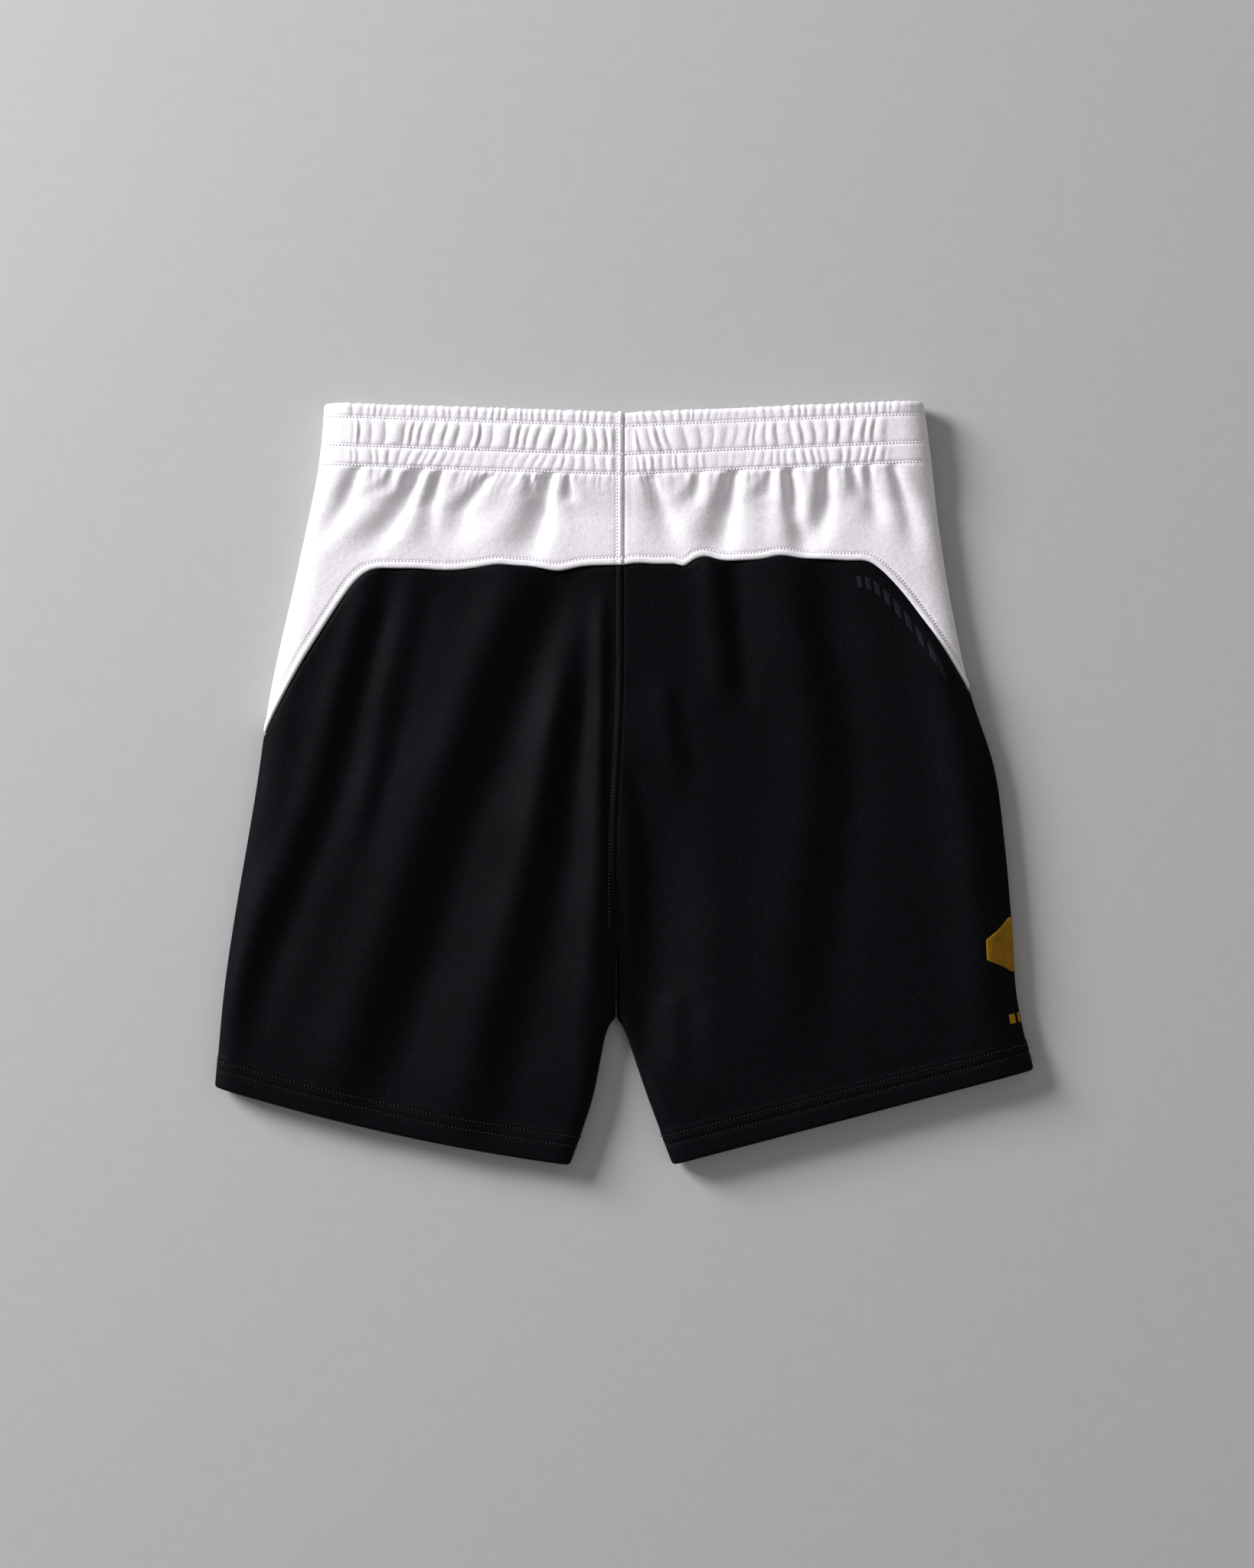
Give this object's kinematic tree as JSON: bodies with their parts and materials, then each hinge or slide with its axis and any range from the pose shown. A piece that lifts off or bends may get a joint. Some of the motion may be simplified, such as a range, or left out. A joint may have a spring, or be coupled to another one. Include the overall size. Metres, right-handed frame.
{
  "type": "boxing shorts",
  "caption": "Two-tone fleece boxing shorts with a gathered elastic waist, curved contrast yoke and coverstitched hems, lying flat with the back up.",
  "frame": {"origin": "centre of the bounding box, on the surface that the front of the shorts lies on", "axes": "+X towards the wearer's right side, +Y up towards the waist, +Z out of the back, away from the surface"},
  "size_m": [0.5338, 0.4977, 0.0188],
  "materials": {
    "white_fleece": "brushed matte fleece",
    "black_fleece": "brushed matte fleece with a faint sheen",
    "elastic": "woven ribbed elastic",
    "white_thread": "spun polyester thread",
    "black_thread": "spun polyester thread",
    "gold_print": "heat-pressed film with a satin gold face",
    "tonal_print": "heat-pressed film, black on black",
    "eyelet_metal": "nickel plated",
    "label_satin": "woven satin tape"
  },
  "bodies": {
    "right_half": {"back_yoke_right": "white_fleece", "front_yoke_right": "white_fleece", "back_panel_right": "black_fleece", "front_panel_right": "black_fleece", "elastic_right": "elastic", "eyelet_right": "eyelet_metal", "casing_row_1_right": "white_thread", "casing_row_2_right": "white_thread", "casing_row_3_right": "white_thread", "yoke_topstitch_right": "white_thread", "hem_row_1_right": "black_thread", "hem_row_2_right": "black_thread", "side_badge": "gold_print", "side_bar": "gold_print", "tonal_print": "tonal_print", "care_label": "label_satin"},
    "left_half": {"back_yoke_left": "white_fleece", "front_yoke_left": "white_fleece", "back_panel_left": "black_fleece", "front_panel_left": "black_fleece", "elastic_left": "elastic", "eyelet_left": "eyelet_metal", "casing_row_1_left": "white_thread", "casing_row_2_left": "white_thread", "casing_row_3_left": "white_thread", "yoke_topstitch_left": "white_thread", "hem_row_1_left": "black_thread", "hem_row_2_left": "black_thread", "seat_topstitch": "white_thread", "front_topstitch": "white_thread"}
  },
  "joints": [
    {"name": "centre_fold", "type": "hinge", "parent": "right_half", "child": "left_half", "pos_m": [0, 0, 0.0205], "axis": [0, 1, 0], "range_deg": [0, 180]}
  ]
}
